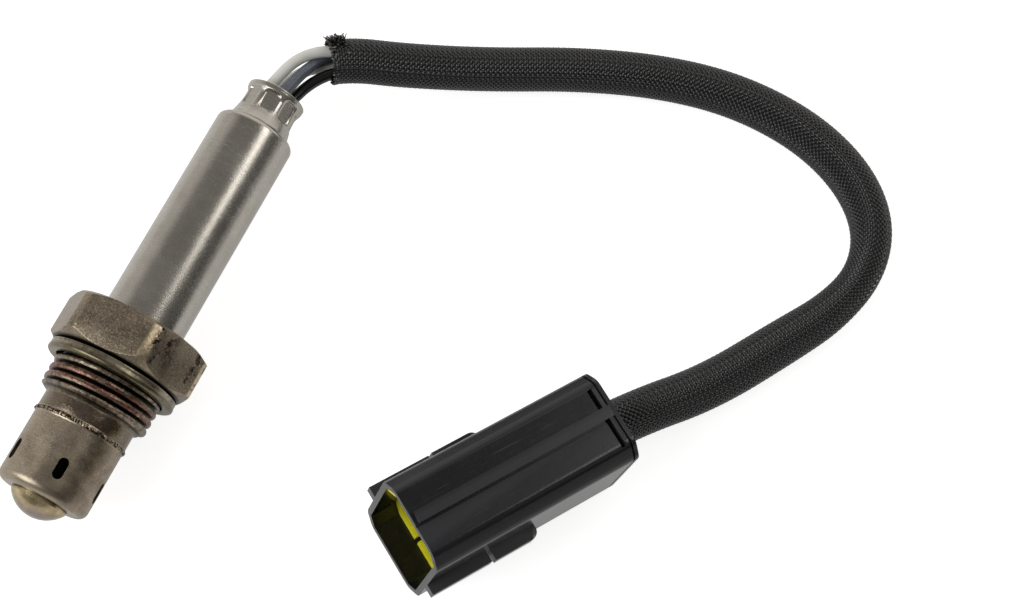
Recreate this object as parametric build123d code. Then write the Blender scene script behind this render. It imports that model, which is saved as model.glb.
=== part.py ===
from build123d import *
from math import asin, atan2, cos, degrees, radians, sin, sqrt, tan
import os

# Heated four-wire oxygen sensor, lying on one flat of its hexagon. Millimetres.
# +Y runs along the sensor from its nose to its leads, +Z is up. The origin is the
# centre of the gasket's sealing face, on the axis of the thread.

# Steel body
hex_across_flats = 22.0
hex_turned_dia = 24.6
hex_height = 7.8
hex_lower_land_dia = 21.4
hex_lower_bevel = 1.3
hex_upper_land_dia = 22.2
hex_upper_bevel = 0.7
thread_dia = 18.0
thread_length = 5.2
thread_lead_in = 0.9
relief_depth = 0.8
relief_bevel = 0.4
spigot_step = 0.05
spigot_length = 2.6
nose_length = 3.0
nose_bore_dia = 9.2
packing_floor_y = 1.2
neck_wall = 0.6
neck_lip = 0.6
sleeve_socket_depth = 3.0

# Folded sealing ring
gasket_slack = 0.2
gasket_width = 1.75
gasket_thickness = 2.0
gasket_sheet = 0.7
gasket_fold_depth = 1.1
gasket_edge = 0.45

# Protection tubes
shield_dia = 14.9
shield_wall = 0.5
shield_length = 12.4
shield_bend_radius = 1.4
weld_bead_width = 1.0
weld_bead_height = 0.2
slot_count = 5
slot_width = 1.6
slot_length = 3.45
slot_end_y = -14.3
slot_turn = 22.0
tip_dia = 9.2
tip_wall = 0.4
tip_stand_out = 0.5
tip_dome_height = 2.5
tip_flange = 0.4
vent_count = 6
vent_dia = 1.4
vent_from_flange = 1.9

# Zirconia thimble, heater and packing
washer_thickness = 0.4
element_collar_height = 2.9
element_root_dia = 6.6
element_tip_dia = 5.2
element_tip_y = -17.5
element_stem_dia = 8.0
element_stem_length = 14.5
element_bore_dia = 3.8
element_floor = 2.0
collar_bevel = 0.6
heater_dia = 3.0
heater_stand_out = 2.4
heater_end_gap = 0.4
talc_height = 4.1
insulator_height = 3.6
crimp_ring_height = 0.7
crimp_ring_inner_dia = 9.0

# Contacts, ceramic carrier and wire ends
contact_sheet = 0.3
contact_finger_width = 0.9
contact_grip = 5.5
post_dia = 0.9
post_gap = 0.02
finger_gap = 0.5
split_width = 1.0
carrier_gap = 0.4
carrier_skirt_wall = 0.8
carrier_room = 3.2
carrier_length = 17.2
carrier_bore_dia = 2.1
carrier_bevel = 0.5
ferrule_length = 8.0
ferrule_rise = 3.0
spring_height = 1.4
spring_sheet = 0.35
spring_width = 1.9

# Drawn rear sleeve, crimped neck and rubber grommet
sleeve_dia = 13.34
sleeve_wall = 0.5
sleeve_length = 40.9
sleeve_shoulder_radius = 1.2
shoulder_land = 0.1
neck_dia = 9.24
neck_length = 4.5
neck_taper_length = 3.0
rim_dia = 10.0
rim_height = 2.3
rim_flare_length = 1.4
crimp_flats = 8
crimp_depth = 0.35
crimp_width = 2.85
crimp_length = 3.7
crimp_turn = 10.0
crimp_foot = 2.1
crimp_corner = 0.7
grommet_base_height = 5.2
grommet_recess = 2.4
grommet_bevel = 1.0

# Leads and woven sleeve
lead_dia = 1.9
bundle_radius = 2.1
bundle_turn = 157.5
braid_dia = 7.5
braid_bore_dia = 6.5
braid_end_gap = 1.2
bore_clearance = 0.1
run_share = 0.45

# Connector housing, in its own frame: x right, y from the mouth backwards, z up
housing_width = 15.2
housing_height = 19.5
housing_length = 36.2
housing_corner = 2.2
housing_softness = 1.9
mouth_softness = 0.7
housing_wall = 1.0
mouth_depth = 15.0
block_length = 14.0
heel_length = 6.2
heel_rise = 1.6
flange_length = 1.7
flange_bar = 0.7
flange_line = 0.3
flange_slot_width = 10.1
flange_slot_offset = 0.35
flange_slot_length = 0.8
flange_slot_depth = 1.2
spine_width = 1.85
spine_height = 0.8
spine_offset = -0.28
spine_start = 0.5
spine_shadow = 0.4
rail_reach = 1.72
rail_thickness = 1.75
rail_drop = 0.4
rail_front_length = 10.5
rail_gap = 0.6
rail_rear_length = 8.0
rail_rear_extra = 0.15
rail_end_radius = 1.4
guard_spacing = 8.6
guard_thickness = 1.4
guard_height = 5.2
guard_start = 3.4
guard_top = 4.0
guard_length = 16.0
lug_width = 4.2
lug_height = 2.2
lug_length = 4.5
pocket_wall = 2.15
pocket_roof = 3.4
pocket_radius = 2.0

# Insert, pins and seal in the housing
insert_setback = 4.4
insert_wall = 1.4
insert_floor = 1.6
insert_notch_width = 0.8
insert_notch_depth = 1.0
insert_key_setback = 0.4
insert_key_reach = 2.3
insert_gap = 0.05
pin_pitch = 3.0
pin_dia = 1.0
pin_length = 7.5
terminal_width = 1.9
terminal_cavity = 2.1
terminal_length = 12.5
terminal_recess = 1.0
seal_thickness = 3.4
seal_ribs = 2
seal_rib_height = 0.1
retainer_thickness = 2.6
retainer_hole_dia = 8.2

# Where the connector's mouth lies, and how it is turned
mouth_x = 53.0
mouth_y = -3.2
mouth_height = 16.6
connector_heading = 31.4
connector_slope = 12.85
connector_roll = 4.5

# Values that follow from the ones above
floor_z = -hex_across_flats / 2
hex_bottom_y = gasket_thickness
hex_top_y = hex_bottom_y + hex_height
spigot_end_y = -thread_length - thread_lead_in / 2 - spigot_length
nose_end_y = spigot_end_y - nose_length
relief_dia = thread_dia - 2 * relief_depth
spigot_dia = shield_dia + 2 * spigot_step
neck_dia_outer = sleeve_dia - 2 * sleeve_wall - bore_clearance
packing_bore_dia = neck_dia_outer - 2 * neck_wall
carrier_dia = sleeve_dia - 2 * (sleeve_wall + carrier_gap)
neck_bore_dia = neck_dia - 2 * (sleeve_wall + crimp_depth)
socket_y = hex_top_y - sleeve_socket_depth
washer_top_y = packing_floor_y + washer_thickness
collar_top_y = washer_top_y + element_collar_height
talc_top_y = collar_top_y + talc_height
insulator_top_y = talc_top_y + insulator_height
crimp_ring_top_y = insulator_top_y + crimp_ring_height
neck_end_y = crimp_ring_top_y + neck_lip
stem_top_y = collar_top_y + element_stem_length
heater_top_y = stem_top_y + heater_stand_out
carrier_floor_y = stem_top_y + carrier_room
carrier_top_y = carrier_floor_y + carrier_length
ferrule_y = carrier_floor_y + ferrule_rise
lead_start_y = ferrule_y + ferrule_length
grommet_y = carrier_top_y + spring_height
shoulder_y = socket_y + sleeve_length
neck_top_y = shoulder_y + neck_length
rim_top_y = neck_top_y + rim_height
shield_end_y = spigot_end_y - shield_length
tip_base_y = shield_end_y - tip_stand_out
partition_y = mouth_depth + block_length
pocket_width = housing_width - 2 * pocket_wall
pocket_height = housing_height - 2 * pocket_roof
seal_back_y = partition_y + seal_thickness
terminal_end_y = partition_y - terminal_recess
retainer_back_y = seal_back_y + retainer_thickness
connector_place = (
    Location((mouth_x, mouth_y, floor_z + mouth_height))
    * Rotation(0, 0, -connector_heading)
    * Rotation(-connector_slope, 0, 0)
    * Rotation(0, connector_roll, 0)
)

# The middle of the four leads from the ceramic carrier to the connector: x, y and the
# height above the floor. The woven sleeve starts halfway between two of these points.
route = [
    (0.0, lead_start_y, hex_across_flats / 2),
    (0.0, 54.5, hex_across_flats / 2),
    (1.9, 61.9, 10.7),
    (7.3, 66.5, 9.6),
    (15.0, 71.0, 7.6),
    (27.0, 77.0, 4.3),
    (41.5, 84.5, 3.8),
    (55.5, 89.5, 3.8),
    (68.0, 91.5, 3.8),
    (80.5, 90.3, 3.8),
    (90.5, 86.0, 3.8),
    (97.3, 79.5, 3.8),
    (99.3, 71.0, 3.8),
    (96.5, 62.5, 3.8),
    (91.3, 54.5, 4.1),
    (83.6, 41.7, 5.5),
    (75.0, 32.1, 7.4),
]
bare_run_count = 2


def across(y):
    """The plane square to the sensor's axis at y, with its x along +X and its y along +Z."""
    return Plane(origin=(0, y, 0), x_dir=(1, 0, 0), z_dir=(0, -1, 0))


def turned(*corners):
    """A turned piece: its half section's corners as (radius, y), closed on themselves."""
    return revolve(make_face(Polyline(*corners, close=True)), Axis.Y)


def ring(outer_dia, inner_dia, start_y, end_y):
    """A plain ring round the sensor's axis."""
    return turned(
        (inner_dia / 2, start_y), (outer_dia / 2, start_y), (outer_dia / 2, end_y), (inner_dia / 2, end_y)
    )


def bar(sketch, start_y, end_y):
    """A sketch square to the sensor's axis, drawn out from start_y to end_y."""
    return extrude(across(start_y) * sketch, -(end_y - start_y))


def at_angle(radius, angle):
    """A place in the bundle: x to the right of the lead's run, y up."""
    return (radius * cos(radians(angle)), radius * sin(radians(angle)))


def lead_places():
    """Where the four leads run in the bundle, clockwise from the outer white one."""
    return [at_angle(bundle_radius, bundle_turn - 90 * i) for i in range(4)]


# ---- sensor body ----


def hex_shell():
    land = hex_lower_land_dia / 2
    crown = turned(
        (0, hex_bottom_y),
        (land, hex_bottom_y),
        (hex_turned_dia / 2, hex_bottom_y + hex_lower_bevel),
        (hex_turned_dia / 2, hex_top_y - hex_upper_bevel),
        (hex_upper_land_dia / 2, hex_top_y),
        (0, hex_top_y),
    )
    hexagon = RegularPolygon(hex_across_flats / 2, 6, major_radius=False)
    head = crown & bar(hexagon, hex_bottom_y, hex_top_y)
    shank = turned(
        (0, nose_end_y),
        (shield_dia / 2 - shield_wall - bore_clearance / 2, nose_end_y),
        (shield_dia / 2 - shield_wall - bore_clearance / 2, spigot_end_y),
        (spigot_dia / 2, spigot_end_y),
        (spigot_dia / 2, spigot_end_y + spigot_length),
        (thread_dia / 2, -thread_length + thread_lead_in / 2),
        (thread_dia / 2, 0),
        (relief_dia / 2, relief_bevel),
        (relief_dia / 2, hex_bottom_y + 1),
        (0, hex_bottom_y + 1),
    )
    neck = ring(neck_dia_outer, 0.0, hex_top_y - 1, neck_end_y)
    body = head + shank + neck
    socket = ring(sleeve_dia + bore_clearance, neck_dia_outer, socket_y, hex_top_y + 1)
    nose_bore = ring(nose_bore_dia, 0.0, nose_end_y - 1, packing_floor_y + 1)
    packing_bore = ring(packing_bore_dia, 0.0, packing_floor_y, crimp_ring_top_y)
    lip_bore = ring(packing_bore_dia - 2 * neck_lip, 0.0, crimp_ring_top_y - neck_lip / 2, neck_end_y + 1)
    return body - socket - nose_bore - packing_bore - lip_bore


def gasket_ring():
    inner = thread_dia / 2 + gasket_slack
    sheet = Pos(inner + gasket_width / 2, gasket_thickness / 2) * Rectangle(gasket_width, gasket_thickness)
    rounded = chamfer(sheet.vertices().group_by(Axis.X)[-1], gasket_edge)
    gap = gasket_thickness - 2 * gasket_sheet
    fold = Pos(inner + gasket_fold_depth / 2, gasket_thickness / 2) * Rectangle(gasket_fold_depth, gap)
    return revolve(rounded - fold, Axis.Y)


# ---- protection tubes ----


def outer_shield():
    radius = shield_dia / 2
    hole = tip_dia / 2 + bore_clearance / 2
    outline = FilletPolyline(
        (radius, spigot_end_y), (radius, shield_end_y), (hole, shield_end_y), radius=shield_bend_radius
    )
    inner_bevel = shield_bend_radius - shield_wall
    inside = Polyline(
        outline @ 1,
        (hole, shield_end_y + shield_wall),
        (radius - shield_wall - inner_bevel, shield_end_y + shield_wall),
        (radius - shield_wall, shield_end_y + shield_wall + inner_bevel),
        (radius - shield_wall, spigot_end_y),
        outline @ 0,
    )
    cup = revolve(make_face([outline, inside]), Axis.Y)
    bead_middle = spigot_end_y - weld_bead_width / 2
    cup += turned(
        (radius - shield_wall / 2, spigot_end_y),
        (radius + weld_bead_height / 2, spigot_end_y),
        (radius + weld_bead_height, bead_middle),
        (radius, spigot_end_y - weld_bead_width),
        (radius - shield_wall / 2, spigot_end_y - weld_bead_width),
    )
    slot = Rot(0, 0, 90) * SlotOverall(slot_length, slot_width)
    for i in range(slot_count):
        turn = slot_turn + 360 / slot_count * i
        cutter = extrude(Pos(0, slot_end_y - slot_length / 2, 0) * slot, radius + 1)
        cup -= Rot(0, turn, 0) * cutter
    return cup


def inner_shield():
    radius = tip_dia / 2
    inner = radius - tip_wall
    flange = shield_dia / 2 - shield_wall - bore_clearance / 2
    top = nose_end_y
    tip = tip_base_y - tip_dome_height
    dome_radius = (radius**2 + tip_dome_height**2) / (2 * tip_dome_height)
    hollow_radius = dome_radius - tip_wall
    centre = (0, tip + dome_radius)
    dome = CenterArc(centre, dome_radius, -90, degrees(asin(radius / dome_radius)))
    hollow = CenterArc(centre, hollow_radius, -90, degrees(asin(inner / hollow_radius)))
    outline = Polyline(
        dome @ 1,
        (radius, top - tip_flange),
        (flange, top - tip_flange),
        (flange, top),
        (inner, top),
        hollow @ 1,
    )
    axis = Line((0, tip + tip_wall), (0, tip))
    tube = revolve(make_face([dome, outline, hollow, axis]), Axis.Y)
    for i in range(vent_count):
        vent = extrude(Pos(0, top - tip_flange - vent_from_flange, 0) * Circle(vent_dia / 2), radius + 1)
        tube -= Rot(0, 360 / vent_count * i, 0) * vent
    return tube


# ---- inside the body ----


def sensing_element():
    """A closed-end thimble with a collar, which is held between the washer and the powder."""
    root = element_root_dia / 2
    tip = element_tip_dia / 2
    collar = packing_bore_dia / 2 - 2 * bore_clearance
    stem = element_stem_dia / 2
    bore = element_bore_dia / 2
    well_y = element_tip_y + element_floor
    nose = CenterArc((0, element_tip_y + tip), tip, -90, 90)
    outline = Polyline(
        nose @ 1,
        (root, washer_top_y),
        (collar, washer_top_y),
        (collar, collar_top_y - collar_bevel),
        (collar - collar_bevel, collar_top_y),
        (stem, collar_top_y),
        (stem, stem_top_y),
        (bore, stem_top_y),
        (bore, well_y + bore / 2),
        (bore / 2, well_y),
        (0, well_y),
        nose @ 0,
    )
    return revolve(make_face([nose, outline]), Axis.Y)


def heater_rod():
    start = element_tip_y + element_floor + heater_end_gap
    rod = ring(heater_dia, 0.0, start, heater_top_y)
    return chamfer(rod.edges().sort_by(Axis.Y)[0], heater_dia / 4)


def packed_ring(inner_dia, start_y, end_y):
    """A ring that fills the body's packing bore from its wall to inner_dia."""
    return ring(packing_bore_dia - bore_clearance, inner_dia, start_y, end_y)


def seat_washer():
    return packed_ring(element_root_dia + 4 * bore_clearance, packing_floor_y, washer_top_y)


def talc_seal():
    return packed_ring(element_stem_dia + bore_clearance, collar_top_y, talc_top_y)


def insulator_ring():
    return packed_ring(element_stem_dia + bore_clearance, talc_top_y, insulator_top_y)


def crimp_ring():
    return packed_ring(crimp_ring_inner_dia, insulator_top_y, crimp_ring_top_y)


def finger_level(number):
    """The height of a contact's finger above the element: each lies clear of the one below."""
    return stem_top_y + finger_gap / 2 + number * (contact_sheet + finger_gap)


def contact_finger(inner, outer, y, place):
    """A flat finger between two radii at a lead's place, with a post that rises from it."""
    angle = degrees(atan2(place[1], place[0]))
    strip = Pos((inner + outer) / 2, 0) * Rectangle(outer - inner, contact_finger_width)
    finger = bar(Rot(0, 0, angle) * strip, y, y + contact_sheet)
    return finger + bar(Pos(*place) * Circle(post_dia / 2), y, ferrule_y + 1)


def inner_contact(place):
    grip = heater_dia / 2 + bore_clearance / 2
    y = finger_level(0)
    plug = ring(element_bore_dia - bore_clearance, 2 * grip, stem_top_y - contact_grip, y + contact_sheet)
    return plug + contact_finger(grip + contact_sheet / 4, bundle_radius, y, place)


def outer_contact(place):
    grip = element_stem_dia / 2 + bore_clearance / 2
    y = finger_level(1)
    sleeve = ring(2 * (grip + contact_sheet), 2 * grip, stem_top_y - contact_grip, y + contact_sheet)
    angle = degrees(atan2(place[1], place[0]))
    split = Rot(0, 0, angle + 180) * (Pos(grip, 0) * Rectangle(2, split_width))
    sleeve -= bar(split, stem_top_y - contact_grip - 1, y + 1)
    return sleeve + contact_finger(bundle_radius, grip + contact_sheet / 2, y, place)


def heater_contact(place):
    return contact_finger(heater_dia / 2, bundle_radius, finger_level(2), place)


def contact_carrier():
    outer = carrier_dia / 2
    inner = outer - carrier_skirt_wall
    body = turned(
        (inner, neck_end_y),
        (outer, neck_end_y),
        (outer, carrier_top_y - carrier_bevel),
        (outer - carrier_bevel, carrier_top_y),
        (0, carrier_top_y),
        (0, carrier_floor_y),
        (inner, carrier_floor_y),
    )
    for place in lead_places():
        bore = Pos(*place) * Circle(carrier_bore_dia / 2)
        body -= bar(bore, carrier_floor_y - 1, carrier_top_y + 1)
    return body


def wire_ferrule(place):
    barrel = Circle(lead_dia / 2) - Circle(post_dia / 2 + post_gap)
    return bar(Pos(*place) * barrel, ferrule_y, lead_start_y)


def disc_spring():
    outer = carrier_dia / 2 - carrier_bevel
    inner = outer - spring_width
    rise = spring_height - spring_sheet
    return turned(
        (outer, carrier_top_y),
        (outer, carrier_top_y + spring_sheet),
        (inner, carrier_top_y + rise + spring_sheet),
        (inner, carrier_top_y + rise),
    )


# ---- rear sleeve and grommet ----


def rear_sleeve():
    """A drawn cup whose neck narrows from a step, opens into a rim and is pressed in by eight jaws."""
    body = sleeve_dia / 2
    neck = neck_dia / 2
    rim = rim_dia / 2
    bore = neck_bore_dia / 2
    flare_y = neck_top_y + rim_flare_length
    inner_bevel = sleeve_shoulder_radius - sleeve_wall
    shoulder = FilletPolyline(
        (body, socket_y),
        (body, shoulder_y),
        (body - sleeve_shoulder_radius - shoulder_land, shoulder_y),
        radius=sleeve_shoulder_radius,
    )
    inside = Polyline(
        shoulder @ 1,
        (neck, shoulder_y + neck_taper_length),
        (neck, neck_top_y),
        (rim, flare_y),
        (rim, rim_top_y),
        (rim - sleeve_wall, rim_top_y),
        (bore, flare_y),
        (bore, shoulder_y - sleeve_wall),
        (body - sleeve_wall - inner_bevel, shoulder_y - sleeve_wall),
        (body - sleeve_wall, shoulder_y - sleeve_wall - inner_bevel),
        (body - sleeve_wall, socket_y),
        shoulder @ 0,
    )
    sleeve = revolve(make_face([shoulder, inside]), Axis.Y)
    jaw_y = shoulder_y + crimp_foot + crimp_length / 2
    jaw = RectangleRounded(crimp_width, crimp_length, crimp_corner)
    for i in range(crimp_flats):
        press = extrude(Pos(0, jaw_y, neck - crimp_depth) * jaw, rim)
        sleeve -= Rot(0, crimp_turn + 360 / crimp_flats * i, 0) * press
    return sleeve


def grommet():
    wide = sleeve_dia / 2 - sleeve_wall - bore_clearance / 2
    narrow = neck_bore_dia / 2 - bore_clearance / 2
    step_y = grommet_y + grommet_base_height
    plug = turned(
        (0, grommet_y),
        (wide, grommet_y),
        (wide, step_y - grommet_bevel),
        (wide - grommet_bevel, step_y),
        (narrow, step_y),
        (narrow, rim_top_y - grommet_recess),
        (0, rim_top_y - grommet_recess),
    )
    for place in lead_places():
        bore = Pos(*place) * Circle((lead_dia + bore_clearance) / 2)
        plug -= bar(bore, grommet_y - 1, rim_top_y)
    return plug


# ---- leads ----


def corner_radius(before, corner, after):
    """The radius at a corner whose arc takes the same share of the shorter run on each side."""
    arriving = corner - before
    leaving = after - corner
    half_turn = radians(arriving.get_angle(leaving)) / 2
    return run_share * min(arriving.length, leaving.length) / tan(half_turn)


def side_of(run):
    """The level direction to the right of a run."""
    return Vector(run.Y, -run.X, 0).normalized()


def beside(points, right, up):
    """The polyline moved to its right and up, with its corners mitred so that the runs stay parallel."""
    sides = [side_of(b - a) for a, b in zip(points, points[1:])]
    moved = [points[0] + sides[0] * right]
    for corner, first, second in zip(points[1:-1], sides, sides[1:]):
        mitre = (first + second) / (1 + first.dot(second))
        moved.append(corner + mitre * right)
    moved.append(points[-1] + sides[-1] * right)
    return [p + Vector(0, 0, up) for p in moved]


def bundle_points():
    return [Vector(x, y, floor_z + height) for x, y, height in route]


def in_connector(x, y, z):
    """A point of the connector's own frame in the sensor's frame."""
    return (connector_place * Location((x, y, z))).position


def cord(points, dia, bore, radii):
    """A tube that follows straight runs joined by tangent arcs."""
    path = FilletPolyline(*points, radius=radii)
    start = Plane(path @ 0, z_dir=path % 0)
    section = Circle(dia / 2)
    if bore:
        section -= Circle(bore / 2)
    tube = sweep(start * section, path=path)
    share = tube.volume / (section.area * path.length)
    print("radii", [round(r, 1) for r in radii], f"length {path.length:.1f}, volume share {share:.4f}")
    return tube


def corner_radii(points):
    return [corner_radius(*three) for three in zip(points, points[1:], points[2:])]


def pin_places():
    """The four pins in the housing, in the order of the leads."""
    half = pin_pitch / 2
    return [(half, half), (-half, half), (-half, -half), (half, -half)]


def lead(number):
    right, up = lead_places()[number]
    x, z = pin_places()[number]
    seal_entry = seal_back_y + retainer_thickness / 2
    points = beside(bundle_points(), right, up)
    points.append(in_connector(x, seal_entry, z))
    points.append(in_connector(x, terminal_end_y, z))
    return cord(points, lead_dia, 0.0, corner_radii(points))


def braided_sleeve():
    middle = bundle_points()
    start = (middle[bare_run_count] + middle[bare_run_count + 1]) / 2
    end = in_connector(0, seal_back_y + braid_end_gap, 0)
    points = [start, *middle[bare_run_count + 1 :], end]
    radii = corner_radii([middle[bare_run_count], *points[1:]])
    return cord(points, braid_dia, braid_bore_dia, radii)


# ---- connector ----


def octagon(width, height, corner, softness):
    """A rectangle with bevelled corners, its eight edges rounded a little."""
    return fillet(chamfer(Rectangle(width, height).vertices(), corner).vertices(), softness)


def slab(sketch, start_y, end_y):
    """A sketch square to the connector's axis, drawn out from start_y to end_y."""
    return bar(sketch, start_y, end_y)


def mouth_outline(inset):
    """The inside of the mouth, or a line that follows it at an even distance."""
    reach = 2 * (housing_wall + inset)
    corner = housing_corner - (housing_wall + inset) * (2 - sqrt(2))
    return octagon(housing_width - reach, housing_height - reach, corner, mouth_softness)


def side_rails():
    """Two guide rails on each side, parted by a narrow gap, with a rounded rear end."""
    rails = []
    rear_start = rail_front_length + rail_gap
    for side in (-1, 1):
        for start, length, extra in (
            (0.0, rail_front_length, 0.0),
            (rear_start, rail_rear_length, rail_rear_extra),
        ):
            reach = rail_reach + extra + 1
            plan = Pos(housing_width / 2 - 1 + reach / 2, start + length / 2) * Rectangle(reach, length)
            if extra:
                corner = plan.vertices().sort_by(Axis.X)[-2:].sort_by(Axis.Y)[-1]
                plan = fillet(corner, rail_end_radius)
            rail = extrude(Pos(0, 0, -rail_drop - rail_thickness) * plan, rail_thickness)
            rails.append(rail if side > 0 else mirror(rail, Plane.YZ))
    return rails


def latch_guards():
    """The catch for the mating lever, between two guard walls, under the mouth."""
    base = -housing_height / 2
    back = guard_start + guard_length
    side = make_face(
        Polyline(
            (guard_start, base + 1),
            (guard_start, base - guard_height),
            (guard_start + guard_top, base - guard_height),
            (back, base),
            (back, base + 1),
            close=True,
        )
    )
    wall = extrude(Plane.YZ * side, guard_thickness / 2, both=True)
    lug_side = make_face(
        Polyline(
            (guard_start + 1, base + 1),
            (guard_start + 1, base),
            (guard_start + 1 + lug_length, base - lug_height),
            (guard_start + 1 + lug_length, base + 1),
            close=True,
        )
    )
    lug = extrude(Plane.YZ * lug_side, lug_width / 2, both=True)
    return [Pos(-guard_spacing / 2, 0, 0) * wall, Pos(guard_spacing / 2, 0, 0) * wall, lug]


def connector_housing():
    outline = octagon(housing_width, housing_height, housing_corner, housing_softness)
    flange_y = housing_length - flange_length
    body = slab(outline, 0, housing_length)
    heel = make_face(
        Polyline(
            (housing_length - heel_length, -housing_height / 2),
            (housing_length, -housing_height / 2 + heel_rise),
            (housing_length + 1, -housing_height / 2 - 1),
            (housing_length - heel_length, -housing_height / 2 - 1),
            close=True,
        )
    )
    body -= extrude(Plane.YZ * heel, housing_width, both=True)
    slot = Pos(flange_slot_offset, housing_height / 2) * Rectangle(flange_slot_width, 2 * flange_slot_depth)
    body -= slab(slot, flange_y - flange_slot_length, flange_y)
    line_y = flange_y + flange_bar
    rim_width = housing_width - 2 * flange_line
    rim = octagon(rim_width, housing_height - 2 * flange_line, housing_corner, housing_softness)
    body -= slab(outline - rim, line_y, line_y + flange_line)
    spine = Pos(spine_offset, housing_height / 2) * Rectangle(spine_width, 2 * spine_height)
    body += slab(spine, spine_start, line_y)
    shadow_x = spine_offset + spine_width / 2 + spine_shadow / 2
    shadow = Pos(shadow_x, housing_height / 2) * Rectangle(spine_shadow, spine_shadow)
    body -= slab(shadow, 0, flange_y)
    for piece in side_rails() + latch_guards():
        body += piece
    body -= slab(mouth_outline(0), -1, mouth_depth)
    pocket = RectangleRounded(pocket_width, pocket_height, pocket_radius)
    body -= slab(pocket, partition_y, housing_length + 1)
    for x, z in pin_places():
        cavity = Pos(x, z) * Rectangle(terminal_cavity, terminal_cavity)
        body -= slab(cavity, mouth_depth - 1, partition_y + 1)
    return body


def insert_key():
    """A strip in one upper corner of the mouth, which reaches forward from the lining."""
    corner = Pos(housing_wall - housing_width / 2, housing_height / 2 - housing_wall)
    band = corner * Rot(0, 0, -45) * Rectangle(2 * insert_key_reach, housing_width)
    return slab(mouth_outline(insert_gap) & band, insert_key_setback, insert_setback + insert_wall)


def lock_insert():
    """The lining of the mouth, with a floor that the pins stand through, a notch and a key."""
    tray = slab(mouth_outline(insert_gap), insert_setback, mouth_depth)
    tray -= slab(mouth_outline(insert_gap + insert_wall), insert_setback - 1, mouth_depth - insert_floor)
    notch = Pos(0, housing_wall - housing_height / 2) * Rectangle(insert_notch_width, 4 * insert_wall)
    tray -= slab(notch, insert_setback - 1, insert_setback + insert_notch_depth)
    tray += insert_key()
    for x, z in pin_places():
        hole = Pos(x, z) * Circle(pin_dia / 2 + insert_gap)
        tray -= slab(hole, mouth_depth - insert_floor - 1, mouth_depth + 1)
    return tray


def pin_terminal(x, z):
    """A round pin with a square body, which holds the end of its lead."""
    pin = Pos(x, z) * Circle(pin_dia / 2)
    base_y = terminal_end_y - terminal_length
    tip_y = mouth_depth - insert_floor - pin_length
    shaft = slab(pin, tip_y, base_y + 1)
    shaft = chamfer(shaft.edges().sort_by(Axis.Y)[0], pin_dia / 3)
    block = Pos(x, z) * Rectangle(terminal_width, terminal_width)
    return shaft + slab(block, base_y, terminal_end_y)


def seal_mat():
    gap = bore_clearance / 2
    pad = RectangleRounded(
        pocket_width - 2 * seal_rib_height - 2 * gap,
        pocket_height - 2 * seal_rib_height - 2 * gap,
        pocket_radius - seal_rib_height,
    )
    rib = RectangleRounded(pocket_width - 2 * gap, pocket_height - 2 * gap, pocket_radius - gap)
    mat = slab(pad, partition_y, seal_back_y)
    step = seal_thickness / (2 * seal_ribs + 1)
    for i in range(seal_ribs):
        start = partition_y + step * (2 * i + 1)
        mat += slab(rib, start, start + step)
    for x, z in pin_places():
        bore = Pos(x, z) * Circle((lead_dia + bore_clearance) / 2)
        mat -= slab(bore, partition_y - 1, seal_back_y + 1)
    return mat


def seal_retainer():
    gap = bore_clearance / 2
    frame = RectangleRounded(pocket_width - 2 * gap, pocket_height - 2 * gap, pocket_radius - gap)
    return slab(frame - Circle(retainer_hole_dia / 2), seal_back_y, retainer_back_y)


# ---- assembly ----


def sensor_pieces():
    outer_white, ground, signal, inner_white = lead_places()
    return {
        "hex_shell": hex_shell(),
        "gasket_ring": gasket_ring(),
        "outer_shield": outer_shield(),
        "inner_shield": inner_shield(),
        "sensing_element": sensing_element(),
        "heater_rod": heater_rod(),
        "seat_washer": seat_washer(),
        "talc_seal": talc_seal(),
        "insulator_ring": insulator_ring(),
        "crimp_ring": crimp_ring(),
        "outer_contact": outer_contact(ground),
        "inner_contact": inner_contact(signal),
        "heater_contact_1": heater_contact(outer_white),
        "heater_contact_2": heater_contact(inner_white),
        "contact_carrier": contact_carrier(),
        "disc_spring": disc_spring(),
        "rear_sleeve": rear_sleeve(),
        "grommet": grommet(),
    }


def lead_pieces():
    names = ["lead_white_1", "lead_grey", "lead_black", "lead_white_2"]
    pieces = {name: lead(i) for i, name in enumerate(names)}
    for i, place in enumerate(lead_places()):
        pieces[f"wire_ferrule_{i + 1}"] = wire_ferrule(place)
    pieces["braided_sleeve"] = braided_sleeve()
    return pieces


def connector_pieces():
    pieces = {
        "connector_housing": connector_housing(),
        "lock_insert": lock_insert(),
        "seal_mat": seal_mat(),
        "seal_retainer": seal_retainer(),
    }
    for i, (x, z) in enumerate(pin_places()):
        pieces[f"pin_terminal_{i + 1}"] = pin_terminal(x, z)
    return {name: connector_place * piece for name, piece in pieces.items()}


os.makedirs("parts", exist_ok=True)
for name, piece in {**sensor_pieces(), **lead_pieces(), **connector_pieces()}.items():
    export_step(piece, f"parts/{name}.step")
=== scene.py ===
import bpy
import random
from math import atan2, cos, degrees, exp, pi, radians, sin, sqrt
from mathutils import Matrix, Vector, noise


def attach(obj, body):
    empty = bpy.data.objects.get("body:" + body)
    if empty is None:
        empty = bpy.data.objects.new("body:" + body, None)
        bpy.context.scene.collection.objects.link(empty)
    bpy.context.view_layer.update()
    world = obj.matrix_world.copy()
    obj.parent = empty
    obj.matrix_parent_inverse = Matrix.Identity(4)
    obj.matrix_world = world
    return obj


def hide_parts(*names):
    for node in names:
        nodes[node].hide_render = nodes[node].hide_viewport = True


# A four-wire oxygen sensor that lies on a pale floor, seen from above. Lengths named here are in
# millimetres and become metres by mm(). The frame's +Y runs along the sensor, and +Z is up.

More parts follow.
